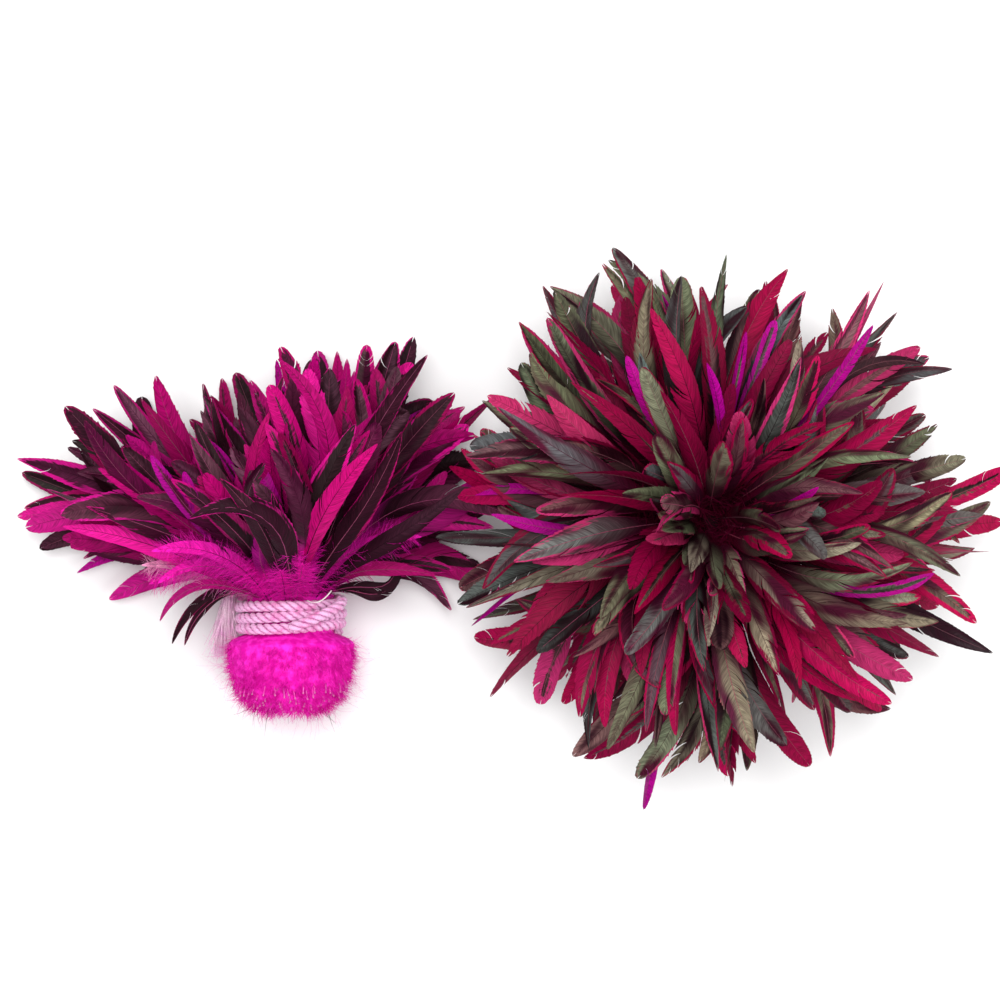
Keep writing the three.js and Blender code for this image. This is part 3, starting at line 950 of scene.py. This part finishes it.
def add_fibres(
    shape, roots, directions, lengths, width, rng, curl=0.5, segments=4, strip=(0.0, 1.0), **colours
):
    """Thin flat fibres, each a narrow ribbon that curls away from its first direction."""
    total = len(roots)
    share = np.linspace(0, 1, segments + 1)
    aside = unit(np.cross(directions, unit(rng.normal(size=(total, 3)))))
    other = np.cross(directions, aside)
    bend = rng.normal(0, curl, (total, 1)) * share**1.7
    sway = rng.normal(0, curl * 0.6, (total, 1)) * np.sin(share * 3.0)
    line = roots[:, None] + lengths[:, None, None] * (
        share[None, :, None] * directions[:, None]
        + bend[..., None] * aside[:, None]
        + sway[..., None] * other[:, None] * 0.5
    )
    taper = (1 - 0.75 * share)[None, :, None] * width / 2
    left = line - aside[:, None] * taper
    right = line + aside[:, None] * taper
    points = np.stack([left, right], 2).reshape(-1, 3)
    maps = np.zeros((total, segments + 1, 2, 2))
    maps[..., 0] = share[None, :, None]
    places = np.stack([np.broadcast_to(strip, maps.shape[:3]), maps[..., 0]], -1)
    base = (np.arange(total) * (segments + 1) * 2)[:, None, None]
    step = (np.arange(segments) * 2)[None, :, None]
    quads = (base + step + np.array([0, 1, 3, 2])).reshape(-1, 4)
    for key, value in colours.items():
        each = np.broadcast_to(np.asarray(value, float), (total, 4))
        colours[key] = np.repeat(each, (segments + 1) * 2, axis=0)
    shape.add(points, maps, quads, places=places, **colours)


TUFTS_ROUND, TUFTS_ALONG = 22, 7
# Short down and stray barbs: the share of each, its lengths and width (mm), its curl, how far it stands out.
DOWN_KINDS = (
    (0.94, (3.0, 6.6), 0.34, 0.45, (0.25, 0.8)),
    (0.06, (7.0, 17.0), 0.13, 0.9, (0.8, 1.4)),
)
DARK_HAIRS = 26


def on_butt(bundle, angle, height, depth):
    """Points under the surface of the butt, and the directions away from its axis there."""
    outward = around(angle)
    return outward * (butt_radius_at(bundle, height) - depth)[:, None] + UP * height[:, None], outward


def add_down(bundle, total):
    """Down all over the quill ends in small tufts, the longer stray barbs that stand out of it, and a few
    dark hairs at the lowest end."""
    rng = draws(300 + bundle.lying)
    shape = Shape()
    tufts = TUFTS_ROUND * TUFTS_ALONG
    for tuft in range(tufts):
        shape.use_cell(tuft, tufts + 1)
        turn = np.array([2 * np.pi * tuft / TUFTS_ROUND])
        middle = around(turn, height=tuft // TUFTS_ROUND / TUFTS_ALONG)
        # Painted shade: the tufts darken towards the deep down colour in broad random patches.
        depth = 0.5 + 0.5 * float(noise_at(middle, 2.4, 5)[0])
        shade = np.array(HOT_DOWN) * rng.uniform(0.76, 1.0)
        shade = shade + (np.array(DEEP_DOWN_AND_SHADE) - shade) * np.clip(depth, 0, 1) * 0.8
        sway = rng.normal(0, 0.4, 3)
        for share, lengths, width, curl, outwards in DOWN_KINDS:
            count = round(total / tufts * share)
            band = (tuft // TUFTS_ROUND + rng.normal(0.5, 0.35, count)) / TUFTS_ALONG
            height = (bundle.rope_from + 1.5 * MM) * np.clip(band, 0, 1)
            angle = 2 * np.pi * (tuft % TUFTS_ROUND + rng.normal(0.5, 0.4, count)) / TUFTS_ROUND
            roots, outward = on_butt(bundle, angle, height, 1.5 * MM)
            directions = outward * rng.uniform(*outwards, (count, 1)) - UP * rng.uniform(0.3, 1.5, (count, 1))
            directions = unit(directions + sway + rng.normal(0, 0.25, (count, 3)))
            # The ground, a darker copy of the tuft's colour, gives the mottling and the painted shade at the
            # fibres' roots.
            add_fibres(
                shape, bundle.world(roots), bundle.turned(directions),
                rng.uniform(*lengths, count) * MM, width * MM, rng, curl=curl,
                dye=(*shade, 1), ground=(*(shade * (0.75, 0.2, 0.66)), 1),
            )
    shape.use_cell(tufts, tufts + 1)
    hairs = DARK_HAIRS
    angle = rng.uniform(0, 2 * np.pi, hairs)
    roots, outward = on_butt(bundle, angle, rng.uniform(0.5, 5.0, hairs) * MM, 1.0 * MM)
    directions = unit(outward * rng.uniform(0.3, 1.2, (hairs, 1)) - UP + rng.normal(0, 0.3, (hairs, 3)))
    add_fibres(
        shape, bundle.world(roots), bundle.turned(directions), rng.uniform(6.0, 15.0, hairs) * MM,
        0.3 * MM, rng, curl=0.35, dye=(*DARKEST, 1), ground=(*DARKEST, 1),
    )
    piece = shape.build(f"{bundle.name}_loose_down", down_look)
    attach(piece, f"{bundle.name}_core")


QUILL_RINGS = (1.0, 3.5, 6.5, 10.0)  # heights of the rows of quill ends, mm
QUILLS_IN_RING = 40
QUILL_RADII = np.array((0.42, 0.5, 0.36)) * MM
QUILL_PINK = np.array((0.92, 0.05, 0.5))
QUILL_DARK = (0.62, 0.01, 0.34, 1)


def add_quills(bundle):
    """The cut ends of the shafts, in rows round the lowest end, where the strung strip is rolled up."""
    rng = draws(400 + bundle.lying)
    shape = Shape()
    for row, ring in enumerate(QUILL_RINGS):
        for place in range(QUILLS_IN_RING):
            angle = 2 * np.pi * (place + ring + rng.uniform(-0.6, 0.6)) / QUILLS_IN_RING
            outward = around(angle)
            height = max(0.4, ring + rng.normal(0, 1.1)) * MM
            tip = outward * (butt_radius_at(bundle, height) + rng.uniform(0.8, 2.6) * MM) + UP * height
            slant = around(angle + np.pi / 2) * rng.normal(0, 1.2) * MM
            start = tip - outward * rng.uniform(1.4, 3.0) * MM + UP * rng.uniform(4, 8.5) * MM + slant
            middle = (tip + start) / 2 + outward * 0.4 * MM
            pink = QUILL_PINK * rng.uniform(0.55, 1.0)
            shape.use_cell(row * QUILLS_IN_RING + place, len(QUILL_RINGS) * QUILLS_IN_RING)
            line = bundle.world([start, middle, tip])
            tube(shape, line, QUILL_RADII, 6, dye=(*pink, 1), ground=QUILL_DARK)
    piece = shape.build(f"{bundle.name}_quill_ends", quill_look)
    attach(piece, f"{bundle.name}_core")


def add_neck_plumes(bundle, count):
    """Soft downy plumes round the neck, where the feathers come out of the tie."""
    rng = draws(450 + bundle.lying)
    base = (MAGENTA if bundle.lying else CRIMSON)["base"]
    shape = Shape()
    for place in range(count):
        angle = 2 * np.pi * (place + rng.uniform(-0.4, 0.4)) / count
        outward = around(angle)
        seat = bundle.neck_radius * rng.uniform(0.35, 0.9)
        root = bundle.world(outward * seat + UP * (bundle.rope_to - 2 * MM))
        reach = outward * rng.uniform(0.1, 0.9) + UP
        if bundle.lying:
            reach = np.array((reach[0] * 1.1, 1.0, -reach[1]))
            reach[2] = abs(reach[2]) if root[2] > bundle.origin[2] else reach[2] * 0.6
        lean = math.acos(np.clip(unit(reach)[2], -1, 1))
        heading = math.atan2(reach[1], reach[0])
        veer = rng.normal(0, 0.7)
        headings = (heading, heading + veer / 2, heading + veer)
        spine = Spine(root, rng.uniform(22, 42) * MM, (lean, lean + 0.2, lean + 0.5), headings)
        tone = np.asarray(base) * rng.uniform(0.8, 1.15)
        shape.use_cell(place, count)
        add_fluff(shape, spine, rng, 190, 11 * MM, 0.0, 1.0, tone, width=0.26 * MM)
    piece = shape.build(f"{bundle.name}_neck_plumes", vane_look)
    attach(piece, f"{bundle.name}_core")


ROPE_TURNS = 3.5
ROPE_LAY = 13 * MM  # the length of one turn of a strand
STRANDS = 3
YARNS = (4, 0.12, 900.0)  # a strand's ridges: how many, how deep and how fast they wind
ROPE_HAIRS = 1500
TAIL_FIBRES = 760
TAIL_PINK = np.array((0.95, 0.66, 0.82))


def rope_path(bundle):
    """The line of the tie: turns side by side, a little uneven, that start inside the neck."""
    share = np.linspace(0, 1, 620)
    angle = 2 * np.pi * ROPE_TURNS * share
    low = bundle.rope_from + ROPE_DIAMETER / 2
    high = bundle.rope_to - ROPE_DIAMETER / 2
    height = low + (high - low) * share + 0.35 * MM * np.sin(angle * 2.3 + 1)
    radius = bundle.tie_radius - ROPE_DIAMETER / 2 + 0.3 * MM * np.sin(angle * 1.7)
    radius = radius - ROPE_DIAMETER * (1 - smooth(angle / 0.5))
    return around(angle, radius, height)


def add_rope(shape, points):
    """Three strands laid round a line of points, each ridged by its own yarns."""
    across, upright = sideways_frames(points)
    run = run_along(points)
    for strand in range(STRANDS):
        angle = 2 * np.pi * (run / ROPE_LAY + strand / STRANDS)
        out = np.cos(angle)[:, None] * across + np.sin(angle)[:, None] * upright
        strip = (strand / STRANDS, (strand + 0.95) / STRANDS)
        tube(
            shape, points + 0.27 * ROPE_DIAMETER * out, 0.265 * ROPE_DIAMETER, 12,
            ridges=YARNS, strip=strip, axis=points, dye=ROPE_PINK, ground=ROPE_STAIN,
        )


def add_tie(bundle):
    """The rope's turns, with short cotton hairs all over them."""
    rng = draws(600 + bundle.lying)
    shape = Shape()
    path = bundle.world(rope_path(bundle))
    shape.cell = (0.0, 0.0, 0.94, 1.0)
    add_rope(shape, path)
    shape.cell = (0.95, 0.0, 0.05, 1.0)
    outward = unit(rng.normal(size=(ROPE_HAIRS, 3)))
    roots = path[rng.integers(len(path), size=ROPE_HAIRS)] + outward * ROPE_DIAMETER * 0.42
    directions = unit(outward + rng.normal(0, 0.6, (ROPE_HAIRS, 3)))
    lengths = rng.uniform(0.8, 2.4, ROPE_HAIRS) * MM
    add_fibres(shape, roots, directions, lengths, 0.09 * MM, rng, dye=ROPE_PINK, ground=ROPE_PINK)
    piece = shape.build(f"{bundle.name}_rope", rope_look)
    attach(piece, f"{bundle.name}_core")
    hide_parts(f"{bundle.name}_tie_rope")


def add_lap(bundle):
    """The rope's last bit, which crosses over its turns and goes under them."""
    share = np.linspace(-0.12, 1.12, 90)
    angle = 2 * np.pi * (-0.22 + 0.14 * share)
    pitch = ROPE_DIAMETER + CLEARANCE
    low = bundle.rope_from + ROPE_DIAMETER / 2 + pitch
    high = bundle.rope_to - ROPE_DIAMETER
    ends = np.clip(np.abs(share - 0.5) * 2 - 0.75, 0, 1)
    radius = bundle.tie_radius - ROPE_DIAMETER / 2 + pitch * (1 - 1.2 * ends**1.2)
    height = low + (high - low) * share
    shape = Shape()
    add_rope(shape, bundle.world(around(angle, radius, height)))
    piece = shape.build(f"{bundle.name}_rope_lap", rope_look)
    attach(piece, f"{bundle.name}_core")
    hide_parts(f"{bundle.name}_tie_lap")


def add_tail(bundle):
    """The rope's frayed end: its yarns fall apart as they leave the tie."""
    rng = draws(500 + bundle.lying)
    node = f"{bundle.name}_tie_tail"
    top = np.array(joint_of[f"{bundle.name}_tail"]["pos_m"])
    low, high = corners(node)
    far = (low + high) / 2
    along = 1 if bundle.lying else 2
    far[along] = low[along]
    drop = far - top
    length = np.linalg.norm(drop)
    directions = unit(drop / length + rng.normal(0, 0.08, (TAIL_FIBRES, 3)))
    roots = top + rng.normal(0, 1.3 * MM, (TAIL_FIBRES, 3))
    lengths = length * rng.uniform(0.6, 1.12, TAIL_FIBRES)
    pinks = TAIL_PINK * rng.uniform(0.85, 1.05, (TAIL_FIBRES, 1))
    shape = Shape()
    add_fibres(
        shape, roots, directions, lengths, 0.7 * MM, rng, curl=0.14, segments=7,
        dye=np.c_[pinks, np.ones(TAIL_FIBRES)], ground=ROPE_PINK,
    )
    piece = shape.build(f"{bundle.name}_frayed_tail", rope_look)
    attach(piece, f"{bundle.name}_tail")
    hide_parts(node)


def add_thread_end():
    """The curled end of the white stitching thread, which sticks out over the lying bundle's tie."""
    middle = lying.world((0.36 * lying.tie_radius, 0, lying.length - 5 * MM))
    middle[2] += 0.96 * lying.tie_radius
    share = np.linspace(0, 1, 24)
    arc = np.sin(np.pi * share)
    bow = np.stack([12 * share, 5.0 * share**2.2 - 1.5 * arc, 2.5 * arc], -1)
    shape = Shape()
    tube(shape, middle + bow * MM, 0.33 * MM, 8)
    piece = shape.build("lying_thread_end", thread_look)
    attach(piece, "lying_core")


def finish_stitch_cords():
    """The cords keep their CAD shape, and get the thread's look."""
    for bundle in (standing, lying):
        for level in ("lower", "upper"):
            cord = frame["nodes"][f"{bundle.name}_stitch_cord_{level}"]
            cord.data.materials.clear()
            cord.data.materials.append(thread_look)


# ---- making it

add_camera()
add_stage()
add_light("overhead", (-0.25, 0.35, 1.6), 1.1, 24)
add_light("side", (0.9, -0.5, 1.1), 0.9, 9)
for tier in TIERS:
    for index in range(1, TIERS[tier]["sprays"] + 1):
        standing_spray(tier, index)
for layer in LAYERS:
    for index in range(1, LAYERS[layer]["sprays"] + 1):
        lying_spray(layer, index)
for bundle in (standing, lying):
    add_mass(bundle)
    add_down(bundle, 9000)
    add_quills(bundle)
    add_neck_plumes(bundle, 26)
    add_tie(bundle)
    add_lap(bundle)
    add_tail(bundle)
add_thread_end()
finish_stitch_cords()
